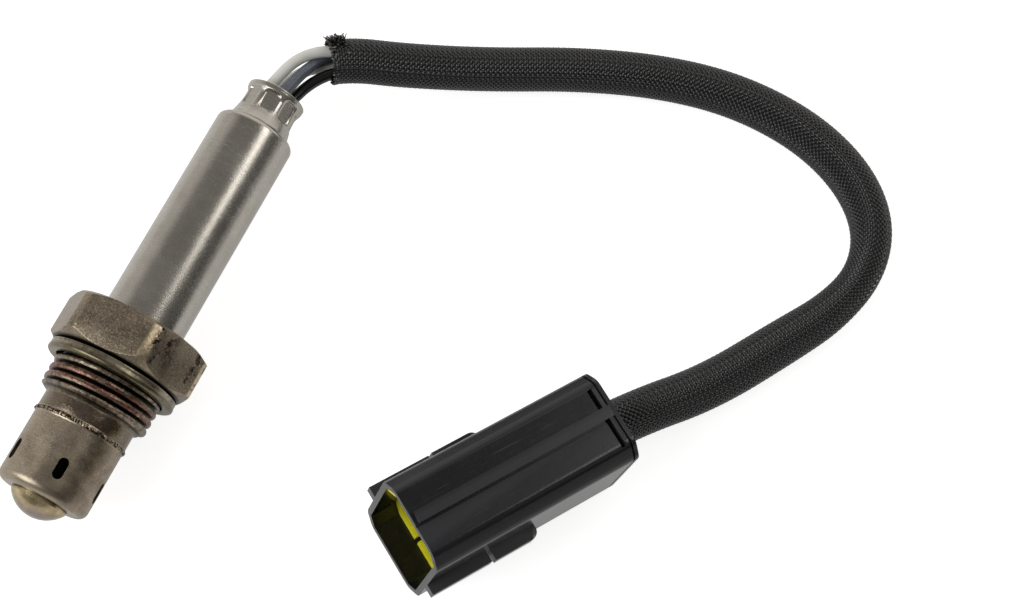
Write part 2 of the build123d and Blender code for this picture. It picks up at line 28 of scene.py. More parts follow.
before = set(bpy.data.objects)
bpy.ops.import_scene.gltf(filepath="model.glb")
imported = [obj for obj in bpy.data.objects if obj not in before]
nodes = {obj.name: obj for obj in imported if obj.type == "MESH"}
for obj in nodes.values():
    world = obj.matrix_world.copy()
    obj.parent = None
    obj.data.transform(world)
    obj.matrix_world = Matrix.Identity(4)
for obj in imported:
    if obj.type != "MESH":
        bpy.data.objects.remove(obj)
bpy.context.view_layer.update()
random.seed(7)


def mm(*values):
    """Millimetres in metres: one number, or a vector of three."""
    if len(values) == 1:
        return values[0] / 1000
    return Vector(values) / 1000


# ---- node materials ----


class Paint:
    """A node material, with short calls for its usual nodes. It is laid out in the frame's own
    coordinates, in metres."""

    def __init__(self, name):
        self.mat = bpy.data.materials.new(name)
        self.mat.use_nodes = True
        self.tree = self.mat.node_tree
        self.shader = self.tree.nodes["Principled BSDF"]
        self.place = self.node("ShaderNodeTexCoord").outputs["Object"]

    def node(self, kind):
        return self.tree.nodes.new(kind)

    def put(self, value, socket):
        """Gives a socket a number or a colour, or links it."""
        if isinstance(value, (int, float)):
            socket.default_value = value
        elif isinstance(value, tuple):
            socket.default_value = (*value, 1)
        else:
            self.tree.links.new(value, socket)

    def set(self, **values):
        for key, value in values.items():
            self.put(value, self.shader.inputs[key.replace("_", " ")])

    def source(self, name):
        """What is linked to one of the shader's inputs."""
        return self.shader.inputs[name].links[0].from_socket

    def cover(self, share, tone):
        """Lays a tone over the base colour: not at all where share is 0, and fully where it is 1."""
        self.set(Base_Color=self.mix(share, self.source("Base Color"), tone))

    def stretched(self, scale, turn=(0, 0, 0)):
        """Coordinates for noise with other cells on each axis, along axes that may be turned."""
        mapping = self.node("ShaderNodeMapping")
        mapping.vector_type = "TEXTURE" if any(turn) else "POINT"
        self.put(self.place, mapping.inputs["Vector"])
        if any(turn):
            mapping.inputs["Rotation"].default_value = turn
            mapping.inputs["Scale"].default_value = [1 / s for s in scale]
        else:
            mapping.inputs["Scale"].default_value = scale
        return mapping.outputs["Vector"]

    def noise(self, scale, detail=3.0, roughness=0.55, place=None):
        """Noise from 0 to 1, with cells about 1 / scale metres wide."""
        n = self.node("ShaderNodeTexNoise")
        self.put(place or self.place, n.inputs["Vector"])
        n.inputs["Scale"].default_value = scale
        n.inputs["Detail"].default_value = detail
        n.inputs["Roughness"].default_value = roughness
        return n.outputs["Fac"]

    def ramp(self, value, *stops):
        """Colours or greys between stops of (value, colour or grey)."""
        r = self.node("ShaderNodeValToRGB")
        self.put(value, r.inputs["Fac"])
        band = r.color_ramp
        while len(band.elements) < len(stops):
            band.elements.new(0.5)
        for element, (position, color) in zip(band.elements, stops):
            element.position = position
            element.color = (*color, 1) if isinstance(color, tuple) else (color, color, color, 1)
        return r.outputs["Color"]

    def math(self, operation, a, b=0.0):
        m = self.node("ShaderNodeMath")
        m.operation = operation
        self.put(a, m.inputs[0])
        self.put(b, m.inputs[1])
        return m.outputs[0]

    def times(self, product, *factors):
        for factor in factors:
            product = self.math("MULTIPLY", product, factor)
        return product

    def mix(self, share, a, b):
        """From colour a to colour b. The node's colour sockets come after those of its other types."""
        m = self.node("ShaderNodeMix")
        m.data_type = "RGBA"
        share_in, a_in, b_in = m.inputs[0], m.inputs[6], m.inputs[7]
        color_out = m.outputs[2]
        self.put(share, share_in)
        self.put(a, a_in)
        self.put(b, b_in)
        return color_out

    def span(self, value, low, high, to_low=0.0, to_high=1.0):
        m = self.node("ShaderNodeMapRange")
        self.put(value, m.inputs["Value"])
        m.inputs["From Min"].default_value = low
        m.inputs["From Max"].default_value = high
        m.inputs["To Min"].default_value = to_low
        m.inputs["To Max"].default_value = to_high
        return m.outputs["Result"]

    def bump(self, height, distance, under=None):
        b = self.node("ShaderNodeBump")
        self.put(height, b.inputs["Height"])
        b.inputs["Distance"].default_value = distance
        if under:
            self.put(under, b.inputs["Normal"])
        return b.outputs["Normal"]

    def axis(self, letter):
        s = self.node("ShaderNodeSeparateXYZ")
        self.put(self.place, s.inputs[0])
        return s.outputs[letter]

    def along(self, letter, start, end, to_low=0.0, to_high=1.0):
        """Goes from 0 to 1 between two places on an axis, in millimetres."""
        return self.span(self.axis(letter), mm(start), mm(end), to_low, to_high)

    def between(self, letter, start, end, fade_in, fade_out):
        """1 between two places on an axis and 0 beyond them, with soft ends inside."""
        rising = self.along(letter, start, start + fade_in)
        return self.times(rising, self.along(letter, end, end - fade_out))

    def from_axis(self):
        """The distance from the sensor's axis, in metres."""
        squares = [self.math("POWER", self.axis(letter), 2.0) for letter in "XZ"]
        return self.math("SQRT", self.math("ADD", *squares))

    def edges(self, low=0.53, high=0.60):
        """1 along outward edges and 0 elsewhere."""
        g = self.node("ShaderNodeNewGeometry")
        return self.span(g.outputs["Pointiness"], low, high)


# ---- sizes of the solids, repeated here ----

hex_across_flats = 22.0
hex_turned_radius = 12.3
hex_bottom_y = 2.0
hex_top_y = 9.8
hex_lower_land = 10.7
hex_lower_bevel = 1.3
hex_upper_land = 11.1
hex_upper_bevel = 0.7
thread_radius = 9.0
thread_pitch = 1.5
thread_end_y = -5.65
lead_in_slope = 1.5 / 0.9
relief_radius = 8.2
relief_y = 0.4
spigot_radius = 7.5
spigot_end_y = -8.25
nose_radius = 6.9
nose_end_y = -11.25
nose_bore = 4.6
packing_bore = 5.52
packing_floor_y = 1.2
lip_bore = 4.92
lip_y = 12.6
neck_radius = 6.12
neck_end_y = 13.5
socket_radius = 6.72
socket_y = 6.8
shield_radius = 7.45
sleeve_radius = 6.67
sleeve_wall = 0.5
shoulder_y = 47.7
shoulder_bend = 1.2
crease_radius = 5.37
crimp_neck_radius = 4.6
crimp_bore = 3.77
neck_top_y = 52.2
rim_radius = 5.0
rim_top_y = 54.5
rim_flare_y = 53.6
crimp_flats = 8
crimp_turn = 10.0
crimp_width = 2.85
crimp_length = 3.7
crimp_depth = 0.35
crimp_corner = 0.7
crimp_middle_y = 51.65
gasket_inner = 9.2
gasket_outer = 10.95
gasket_height = 2.0
gasket_sheet = 0.7
gasket_fold = 1.1
floor_z = -hex_across_flats / 2
lead_dia = 1.9
bundle_radius = 2.1
bundle_turn = 157.5
braid_dia = 7.5
lead_start_y = 33.2
seal_back = 32.4
retainer_thickness = 2.6
terminal_end = 28.0
braid_end_gap = 1.2
pin_pitch = 3.0

# The root of the thread, which only this scene cuts
thread_root = 8.1

# The connector's own frame: x right, y from its mouth backwards, z up
mouth_x = 53.0
mouth_y = -3.2
mouth_height = 16.6
connector_heading = 31.4
connector_slope = 12.85
connector_roll = 4.5
connector_turn = (
    Matrix.Rotation(radians(-connector_heading), 4, "Z")
    @ Matrix.Rotation(radians(-connector_slope), 4, "X")
    @ Matrix.Rotation(radians(connector_roll), 4, "Y")
)
connector_place = Matrix.Translation(mm(mouth_x, mouth_y, floor_z + mouth_height)) @ connector_turn

# The middle of the four leads: x, y and the height above the floor. Counted from 0, point 4 and
# points 11 to 13 are up to 0.8 mm from those of the solids, nearer to the photo. The woven sleeve
# starts halfway between point bare_run_count and the next.
route = [
    (0.0, lead_start_y, hex_across_flats / 2),
    (0.0, 54.5, hex_across_flats / 2),
    (1.9, 61.9, 10.7),
    (7.3, 66.5, 9.6),
    (15.2, 70.3, 7.4),
    (27.0, 77.0, 4.3),
    (41.5, 84.5, 3.8),
    (55.5, 89.5, 3.8),
    (68.0, 91.5, 3.8),
    (80.5, 90.3, 3.8),
    (90.5, 86.0, 3.8),
    (96.9, 79.3, 3.8),
    (98.7, 71.0, 3.8),
    (96.2, 62.6, 3.8),
    (91.3, 54.5, 4.1),
    (83.6, 41.7, 5.5),
    (75.0, 32.1, 7.4),
]
bare_run_count = 2

# How far each lead's first control points are apart, which keeps it straight in the grommet
straight_lead = 18.6

# Where each lead lies beside the middle of the bundle, right and up, at route points 1 to 4
lead_places = {
    "lead_white_1": [(-1.75, 1.15), (-1.95, 1.20), (-0.95, 1.40), (-1.0, 1.5)],
    "lead_grey": [(1.15, 1.55), (0.0, 0.20), (-2.6, -1.40), (-1.0, -1.0)],
    "lead_black": [(1.75, -1.15), (1.95, -1.25), (1.55, -0.25), (1.8, -0.8)],
    "lead_white_2": [(-1.30, -1.45), (-0.85, -1.55), (0.65, -2.65), (0.3, -2.0)],
}


# ---- camera, floor and light ----

camera_place = (93.634, -49.280, 272.12)
camera_target = (48.396, 43.307, floor_z)
camera_lens = 64.65

# The floor's own light, where 1 is white, and the share of it that shows in the metal
floor_lift = 0.80
mirrored_share = 0.45

# The studio's glow: along an axis of the sky it goes from low to high between start and end
studio_tone = (1.0, 0.965, 0.93)
studio_screens = [
    ("X", -0.62, -0.86, 0.0, 0.42),
    ("X", 0.60, 0.90, 0.24, 0.12),
    ("Y", 0.50, 0.75, 0.0, 0.75),
]


def aim(obj, place, target):
    """Puts a camera or light at a place and turns it to its target, both in millimetres."""
    obj.location = mm(*place)
    obj.rotation_euler = (mm(*target) - mm(*place)).to_track_quat("-Z", "Y").to_euler()
    bpy.context.collection.objects.link(obj)


def add_camera():
    data = bpy.data.cameras.new("camera")
    data.sensor_width = 36
    data.lens = camera_lens
    data.clip_start = 0.01
    camera = bpy.data.objects.new("camera", data)
    aim(camera, camera_place, camera_target)
    bpy.context.scene.camera = camera


def add_softbox(name, target, direction, distance, width, height, glow, color=(1, 1, 1)):
    """A rectangular light in a direction from its target. Its glow is its brightness: 1 is white."""
    data = bpy.data.lights.new(name, "AREA")
    data.shape = "RECTANGLE"
    data.size = mm(width)
    data.size_y = mm(height)
    data.energy = glow * pi * mm(width) * mm(height)
    data.color = color
    place = Vector(target) + Vector(direction).normalized() * distance
    aim(bpy.data.objects.new(name, data), place, target)


def add_world():
    """A dim studio, darker on the right, with a bright screen behind and a weaker one on the left."""
    world = bpy.data.worlds.new("studio")
    world.use_nodes = True
    bpy.context.scene.world = world
    tree = world.node_tree
    split = tree.nodes.new("ShaderNodeSeparateXYZ")
    tree.links.new(tree.nodes.new("ShaderNodeTexCoord").outputs["Generated"], split.inputs[0])
    total = None
    for axis, start, end, low, high in studio_screens:
        span = tree.nodes.new("ShaderNodeMapRange")
        tree.links.new(split.outputs[axis], span.inputs["Value"])
        values = (start, end, low, high)
        for key, value in zip(("From Min", "From Max", "To Min", "To Max"), values):
            span.inputs[key].default_value = value
        if total:
            add = tree.nodes.new("ShaderNodeMath")
            tree.links.new(total, add.inputs[0])
            tree.links.new(span.outputs[0], add.inputs[1])
            total = add.outputs[0]
        else:
            total = span.outputs[0]
    tree.nodes["Background"].inputs["Color"].default_value = (*studio_tone, 1)
    tree.links.new(total, tree.nodes["Background"].inputs["Strength"])


def floor_paint():
    """Pale and matt. Its own light makes it white to the camera and shows in what is glossy."""
    p = Paint("pale_floor")
    rays = p.node("ShaderNodeLightPath").outputs
    straight = p.math("MAXIMUM", rays["Is Camera Ray"], rays["Is Transmission Ray"])
    mirrored = p.math("MULTIPLY", rays["Is Glossy Ray"], mirrored_share)
    seen = p.math("MAXIMUM", straight, mirrored)
    p.set(Base_Color=(0.62, 0.62, 0.62), Roughness=0.9, Specular_IOR_Level=0.1)
    p.set(Emission_Color=(1.0, 1.0, 1.0), Emission_Strength=p.math("MULTIPLY", seen, floor_lift))
    return p.mat


def add_floor():
    reach = 2.0
    height = mm(floor_z)
    data = bpy.data.meshes.new("floor")
    corners = [(-reach, -reach), (reach, -reach), (reach, reach), (-reach, reach)]
    data.from_pydata([(x, y, height) for x, y in corners], [], [(0, 1, 2, 3)])
    data.materials.append(floor_paint())
    floor = bpy.data.objects.new("floor", data)
    bpy.context.collection.objects.link(floor)


bpy.context.scene.view_settings.view_transform = "Standard"
add_camera()
add_world()
add_floor()
add_softbox(
    "key",
    target=(40, 30, 0),
    direction=(0.54, 0.46, 0.71),
    distance=600,
    width=240,
    height=160,
    glow=3.9,
    color=(1.0, 0.98, 0.95),
)
add_softbox(
    "front",
    target=(0, -15, 0),
    direction=(-0.54, -0.46, 0.71),
    distance=500,
    width=360,
    height=360,
    glow=3.5,
)


# ---- materials ----

# Black for painted shade: in the thread's grooves, under the hexagon and where the gasket meets it
painted_shade_black = (0.010, 0.008, 0.006)
thin_soot = (0.030, 0.022, 0.017)
smudge_black = (0.020, 0.014, 0.011)
# Gold for worn edges, and also for a painted highlight on the turned corners
worn_and_highlight_gold = (0.66, 0.54, 0.36)
old_paste = (0.24, 0.10, 0.075)
turned_brown = (0.10, 0.072, 0.055)
# Brown that is partly burnt, partly painted shade on the shields' right side
burnt_and_shade_brown = (0.085, 0.058, 0.042)
scratch_pale = (0.85, 0.82, 0.76)

# Where marks lie along the sensor (y) and across it (x): each pair is a start and an end, and a
# single number is a start
paste_y = (-4.0, -1.5)
thin_soot_y = (-5.9, 1.2)
# Where the band of painted shade under the hexagon lies
shade_y = (-0.1, hex_bottom_y + 0.45)
near_smudge_x = (6.0, 9.4)
far_smudge_x = 10.8
smudge_y = 3.2
# Where the corners' gold, partly a painted highlight, starts on the lit right side
lit_side_x = 2.0
scratch_y = (33.0, 40.0)
# Where the shields' right side is darkened, partly burnt, partly painted shade
burnt_and_shade_x = (1.5, 6.0)
burnt_and_shade_y = (-18.5, -22.5)


def steel(name, dark, light, rough=(0.30, 0.42), grain=9000, grain_height=6e-6, rings=0.3, speck=0.0):
    """Steel with cloudy colour, a fine blasted grain and faint turning marks round the sensor.
    rings and speck say how much the marks and the bright and dull specks show."""
    p = Paint(name)
    dull = tuple(c * 0.45 for c in dark)
    bright = tuple(c * 1.9 for c in light)
    cloud = p.noise(230, 5, 0.6)
    fine = p.noise(grain, 2)
    marks = p.noise(1.0, 4, 0.7, p.stretched((60, 7000, 60)))
    p.set(Base_Color=p.ramp(cloud, (0.32, dark), (0.70, light)), Metallic=1.0)
    p.cover(p.span(marks, 0.42, 0.75, 0.0, rings), dull)
    if speck:
        p.cover(p.span(p.noise(grain, 1), 0.52, 0.66, 0.0, speck), bright)
        p.cover(p.span(p.noise(grain * 0.8, 2), 0.46, 0.34, 0.0, speck), dull)
    p.set(Roughness=p.span(p.math("ADD", fine, cloud), 0.7, 1.3, *rough))
    p.set(Normal=p.bump(p.math("ADD", p.math("MULTIPLY", marks, 0.5), fine), grain_height))
    return p


def body_paint():
    """Heat-tinted steel: golden where it is worn and, on the turned corners on the right, also a painted
    highlight; smudged on the hexagon's right, with soot and old reddish paste in the thread, painted
    shade in the thread's grooves and under the hexagon, and a smoother, browner spigot."""
    p = steel(
        "body_steel",
        (0.19, 0.152, 0.108),
        (0.34, 0.285, 0.215),
        rough=(0.30, 0.44),
        grain=3600,
        grain_height=3.4e-5,
        rings=0.15,
        speck=0.38,
    )
    rough = p.source("Roughness")
    radius = p.from_axis()
    # Gold on the turned corners, only on the lit right side: partly wear, partly a painted highlight
    corner = p.times(
        p.span(radius, mm(hex_turned_radius - 0.16), mm(hex_turned_radius - 0.06)),
        p.ramp(p.noise(900, 4), (0.35, 0.3), (0.6, 1.0)),
        p.along("X", lit_side_x, lit_side_x + 2),
    )
    worn = p.times(
        p.edges(),
        p.ramp(p.noise(1500, 4), (0.40, 0.0), (0.58, 0.9)),
        p.along("Y", hex_bottom_y + 0.5, hex_bottom_y + 0.9),
    )
    p.cover(p.math("MAXIMUM", corner, worn), worn_and_highlight_gold)
    near = p.between("X", *near_smudge_x, 0.6, 1.4)
    far = p.along("X", far_smudge_x, far_smudge_x + 0.6)
    smudges = p.times(
        p.ramp(p.noise(360, 7, 0.78), (0.50, 0.0), (0.54, 1.0)),
        p.math("MAXIMUM", near, far),
        p.along("Y", smudge_y, smudge_y + 0.6),
    )
    p.cover(smudges, smudge_black)
    speckle = p.ramp(p.noise(2200, 4, 0.7), (0.38, 0.0), (0.56, 1.0))
    p.cover(p.times(p.between("Y", *paste_y, 0.6, 0.3), speckle), old_paste)
    soot = p.ramp(p.noise(1300, 5, 0.75), (0.45, 0.0), (0.60, 0.75))
    p.cover(p.times(soot, p.between("Y", *thin_soot_y, 0.5, 0.8)), thin_soot)
    # Painted shade: black in the thread's grooves, and in a band under the hexagon where its lower bevel
    # and the gasket's gap lie in shadow
    groove = p.times(
        p.span(radius, mm(thread_root + 0.45), mm(thread_root + 0.12)),
        p.along("Y", thread_end_y + 0.05, thread_end_y + 0.45),
    )
    shade = p.between("Y", *shade_y, 0.3, 0.3)
    p.cover(p.math("MAXIMUM", groove, shade), painted_shade_black)
    turned = p.along("Y", thread_end_y - 0.05, thread_end_y - 0.35)
    p.cover(p.math("MULTIPLY", turned, 0.55), turned_brown)
    p.set(Roughness=p.math("SUBTRACT", rough, p.math("MULTIPLY", turned, 0.16)))
    return p.mat


def tinted(p, start_y, end_y, tint, shaded_from_y=None):
    """Steel that turns to a heat tint from start_y towards end_y, in cloudy patches. Its right
    side is darker, partly burnt and partly painted shade, and past a last y, if given, it is
    painted black as the shade inside the shields."""
    patches = p.span(p.noise(180, 3), 0.35, 0.6)
    p.cover(p.times(p.along("Y", start_y, end_y), patches), tint)
    # Right side darker: partly a burnt tint, partly painted shade
    burnt_and_shade = p.times(
        p.along("X", *burnt_and_shade_x),
        p.span(p.noise(420, 4), 0.35, 0.6),
        p.along("Y", *burnt_and_shade_y, 0.42, 0.85),
    )
    p.cover(burnt_and_shade, burnt_and_shade_brown)
    # Painted shade: black inside the shields, seen through the slots
    if shaded_from_y:
        p.cover(p.along("Y", shaded_from_y, shaded_from_y + 0.3), (0.006, 0.005, 0.004))
    return p.mat


def sleeve_paint():
    """Bright drawn steel, with short scratches round it below the shoulder."""
    p = steel(
        "sleeve_steel",
        (0.42, 0.395, 0.35),
        (0.50, 0.475, 0.43),
        rough=(0.21, 0.29),
        grain=6000,
        grain_height=1.2e-5,
        rings=0.2,
        speck=0.12,
    )
    around = p.stretched((330, 5200, 330))
    scratches = p.ramp(p.noise(1.0, 3, 0.6, around), (0.665, 0.0), (0.69, 0.8))
    p.cover(p.times(scratches, p.along("Y", *scratch_y)), scratch_pale)
    return p.mat


def gasket_paint():
    """Grimy yellowish steel, darker on its lower half, with painted shade where it meets the hexagon."""
    p = steel(
        "gasket_steel",
        (0.19, 0.16, 0.11),
        (0.46, 0.41, 0.31),
        rough=(0.25, 0.40),
        grain=5000,
        grain_height=1e-5,
        rings=0.6,
    )
    p.cover(p.ramp(p.noise(1100, 5, 0.7), (0.50, 0.0), (0.66, 0.7)), (0.05, 0.038, 0.026))
    p.cover(p.along("Y", 0.95, 0.75, 0.0, 0.6), (0.10, 0.085, 0.045))
    # Painted shade: a black band where the hexagon overhangs the ring
    p.cover(p.along("Y", gasket_height - 0.38, gasket_height - 0.18), painted_shade_black)
    return p.mat


def bead_paint():
    """A weld: dark scale with bright metal between."""
    p = Paint("weld_bead")
    scale, bright = (0.022, 0.016, 0.011), (0.46, 0.37, 0.25)
    p.set(Base_Color=p.ramp(p.noise(1600, 4), (0.46, scale), (0.66, bright)))
    p.set(Metallic=1.0, Roughness=p.span(p.noise(2500, 3), 0.3, 0.7, 0.20, 0.50))
    p.set(Normal=p.bump(p.noise(3000, 3), 4e-5))
    return p.mat


def plain(name, color, other, rough=(0.25, 0.4), grain=3500, grain_height=6e-6):
    """Plastic, rubber or ceramic: two near tones, a fine grain and uneven gloss."""
    p = Paint(name)
    p.set(Base_Color=p.ramp(p.noise(300, 4), (0.3, color), (0.75, other)))
    p.set(Roughness=p.span(p.noise(grain, 3), 0.3, 0.7, *rough))
    p.set(Normal=p.bump(p.noise(grain, 2), grain_height))
    return p.mat


def housing_paint():
    """Black moulded plastic with fine scuffs along it, and worn, paler edges."""
    p = Paint("housing_plastic")
    along = p.stretched((2600, 90, 2600), connector_turn.to_euler())
    scuffs = p.ramp(p.noise(1.0, 5, 0.75, along), (0.60, 0.0), (0.72, 1.0))
    dust = p.ramp(p.noise(1500, 5, 0.7), (0.55, 0.0), (0.72, 1.0))
    color = p.ramp(p.noise(220, 4), (0.3, (0.0055, 0.006, 0.0075)), (0.75, (0.010, 0.0105, 0.014)))
    color = p.mix(p.math("MULTIPLY", scuffs, 0.5), color, (0.05, 0.052, 0.058))
    color = p.mix(p.math("MULTIPLY", p.edges(), 0.5), color, (0.06, 0.062, 0.068))
    p.set(Base_Color=color)
    gloss = p.math("ADD", p.math("MULTIPLY", scuffs, 0.5), p.math("MULTIPLY", dust, 0.35))
    p.set(Roughness=p.span(gloss, 0.0, 1.0, 0.20, 0.42), IOR=1.42)
    p.set(Normal=p.bump(p.noise(2600, 3), 1.0e-5))
    return p.mat


def strand_paint():
    """Glossy black filaments with a fine grain."""
    p = Paint("woven_sleeve")
    black, dark_grey = (0.003, 0.003, 0.0035), (0.008, 0.008, 0.009)
    p.set(Base_Color=p.ramp(p.noise(900, 3), (0.3, black), (0.75, dark_grey)))
    p.set(Roughness=p.span(p.noise(5000, 3), 0.3, 0.7, 0.16, 0.30), IOR=1.55)
    p.set(Normal=p.bump(p.noise(9000, 2), 1.5e-5))
    return p.mat


body_steel = body_paint()
gasket_steel = gasket_paint()
shield_steel = tinted(
    steel(
        "shield_steel",
        (0.25, 0.205, 0.15),
        (0.44, 0.375, 0.29),
        rough=(0.28, 0.42),
        grain=5000,
        grain_height=2e-5,
        rings=0.4,
        speck=0.25,
    ),
    start_y=-15.0,
    end_y=-22.0,
    tint=(0.34, 0.29, 0.22),
)
tip_steel = tinted(
    steel(
        "tip_steel",
        (0.24, 0.18, 0.10),
        (0.72, 0.60, 0.36),
        rough=(0.18, 0.30),
        grain=6000,
        grain_height=8e-6,
        rings=0.2,
    ),
    start_y=-22.0,
    end_y=-23.4,
    tint=(0.20, 0.16, 0.19),
    # Painted shade from here back, inside the shields
    shaded_from_y=-20.9,
)
sleeve_steel = sleeve_paint()
bead_steel = bead_paint()
inner_steel = steel("inner_steel", (0.40, 0.40, 0.40), (0.62, 0.62, 0.62)).mat
pin_metal = steel("pin_metal", (0.50, 0.47, 0.40), (0.70, 0.66, 0.57)).mat
ceramic = plain("white_ceramic", (0.78, 0.77, 0.73), (0.84, 0.83, 0.80), (0.5, 0.7))
talc = plain("pressed_talc", (0.55, 0.53, 0.48), (0.66, 0.64, 0.60), (0.8, 0.9))
rubber = plain("grommet_rubber", (0.015, 0.015, 0.015), (0.03, 0.03, 0.03), (0.5, 0.7))
seal_rubber = plain("seal_rubber", (0.20, 0.05, 0.03), (0.26, 0.07, 0.04), (0.5, 0.7))
housing_plastic = housing_paint()
insert_plastic = plain(
    "insert_plastic",
    (0.84, 0.80, 0.015),
    (0.94, 0.90, 0.05),
    rough=(0.3, 0.45),
    grain=3000,
    grain_height=4e-6,
)
strand_black = strand_paint()
fibre_ends = plain("fibre_ends", (0.12, 0.12, 0.11), (0.50, 0.48, 0.44), (0.4, 0.6))


def lead_paint(name, color, other, rough):
    return plain(name, color, other, rough, grain=2500, grain_height=4e-6)


lead_paints = {
    "lead_white_1": lead_paint("lead_white", (0.72, 0.73, 0.68), (0.82, 0.82, 0.78), (0.28, 0.4)),
    "lead_grey": lead_paint("lead_grey", (0.085, 0.10, 0.13), (0.14, 0.155, 0.19), (0.22, 0.34)),
    "lead_black": lead_paint("lead_black", (0.002, 0.002, 0.0025), (0.004, 0.004, 0.005), (0.12, 0.22)),
}
lead_paints["lead_white_2"] = lead_paints["lead_white_1"]

finishes = {
    "hex_shell": body_steel,
    "gasket_ring": gasket_steel,
    "outer_shield": shield_steel,
    "inner_shield": tip_steel,
    "rear_sleeve": sleeve_steel,
    "sensing_element": ceramic,
    "heater_rod": ceramic,
    "insulator_ring": ceramic,
    "contact_carrier": ceramic,
    "talc_seal": talc,
    "grommet": rubber,
    "seal_mat": seal_rubber,
    "seal_retainer": housing_plastic,
    "connector_housing": housing_plastic,
    "lock_insert": insert_plastic,
}


def finish_nodes():
    for name, obj in nodes.items():
        paint = finishes.get(name, pin_metal if name.startswith("pin_") else inner_steel)
        for place in obj.material_slots:
            place.material = paint


def soften_edges(name, width, angle=30.0):
    """Small rounds along a moulded node's edges, which catch the light, with its flats kept flat."""
    weld = nodes[name].modifiers.new("weld", "WELD")
    weld.merge_threshold = 1e-6
    bevel = nodes[name].modifiers.new("rounds", "BEVEL")
    bevel.width = mm(width)
    bevel.segments = 2
    bevel.limit_method = "ANGLE"
    bevel.angle_limit = radians(angle)
    nodes[name].modifiers.new("flats", "WEIGHTED_NORMAL")


finish_nodes()
soften_edges("connector_housing", 0.16)
soften_edges("lock_insert", 0.12)


# ---- turned pieces ----


def add_piece(name, verts, faces, material, sharp=40.0):
    data = bpy.data.meshes.new(name)
    data.from_pydata(verts, [], faces)
    data.materials.append(material)
    data.polygons.foreach_set("use_smooth", [True] * len(data.polygons))
    data.set_sharp_from_angle(angle=radians(sharp))
    piece = bpy.data.objects.new(name, data)
    bpy.context.collection.objects.link(piece)
    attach(piece, "root")
    return piece


def add_turned(name, angles, section, material):
    """A piece round the sensor's axis. section(angle) gives its closed outline there as
    (radius, y), outside first and upwards."""
    verts, faces = [], []
    for angle in angles:
        outline = section(angle)
        verts += [mm(r * cos(angle), y, r * sin(angle)) for r, y in outline]
    count = len(outline)
    for i in range(len(angles)):
        this, following = i * count, (i + 1) % len(angles) * count
        for k in range(count):
            m = (k + 1) % count
            faces.append((this + k, this + m, following + m, following + k))
    return add_piece(name, verts, faces, material)


def even_angles(count):
    return [2 * pi * i / count for i in range(count)]


def steps(start, end, count):
    """Numbers evenly spaced from start to end, both included."""
    return [start + (end - start) * i / (count - 1) for i in range(count)]


def arc(middle, radius, start, end, count):
    """Points of an outline on a round, from one angle to another in degrees."""
    turns = [radians(t) for t in steps(start, end, count)]
    return [(middle[0] + radius * cos(t), middle[1] + radius * sin(t)) for t in turns]


def soft_min(a, b, blend):
    """The lesser of two numbers, with the change from one to the other rounded."""
    return (a + b - sqrt((a - b) ** 2 + blend**2)) / 2


def smooth(value, low, high):
    """Goes from 0 at low to 1 at high with a soft start and end. low may be the greater."""
    t = min(1.0, max(0.0, (value - low) / (high - low)))
    return t * t * (3 - 2 * t)


def hexagon_angles():
    """Angles round the hexagon, closer together beside its turned corners."""
    away = (0, 4, 8, 12, 16, 20, 23, 25, 25.8, 26.3, 26.8, 27.4, 28.5, 30)
    sector = [*(-a for a in reversed(away[1:-1])), *away]
    return [radians(30 + 60 * i + a) for i in range(6) for a in sector]


def thread_surface(angle, y):
    """The radius of the right-hand thread, with rounded crests and a bevelled start."""
    phase = angle / (2 * pi) + y / thread_pitch
    wave = 0.5 + 0.5 * cos(2 * pi * phase)
    ridge = 0.75 * smooth(wave, 0.0, 0.36) + 0.25 * wave
    bevel = spigot_radius + (y - thread_end_y) * lead_in_slope
    fade = smooth(y, relief_y, relief_y - 0.5)
    crest = thread_root + (thread_radius - thread_root) * ridge * fade
    return soft_min(crest, bevel, 0.08)


def hexagon_side(angle):
    """From the body's lower face up over the hexagon to its upper face. Small offsets at each
    edge round it."""
    away = radians(degrees(angle) % 60 - 30)
    radius = soft_min(hex_across_flats / 2 / cos(away), hex_turned_radius, 0.06)
    low_slope = hex_lower_bevel / (hex_turned_radius - hex_lower_land)
    low = hex_bottom_y + low_slope * (radius - hex_lower_land)
    high_slope = hex_upper_bevel / (hex_turned_radius - hex_upper_land)
    high = hex_top_y - high_slope * max(0.0, radius - hex_upper_land)
    land = min(hex_upper_land, radius - 0.10)
    return [
        (hex_lower_land - 0.12, hex_bottom_y),
        (hex_lower_land - 0.02, hex_bottom_y + 0.02),
        (hex_lower_land + 0.06, hex_bottom_y + 0.06),
        (radius - 0.11, low - 0.08),
        (radius - 0.03, low - 0.005),
        (radius, low + 0.10),
        (radius, (low + high) / 2),
        (radius, high - 0.10),
        (radius - 0.02, high - 0.02),
        (radius - 0.08, high + 0.02 * (radius > hex_upper_land)),
        (land - 0.02, hex_top_y),
        (land - 0.15, hex_top_y),
    ]


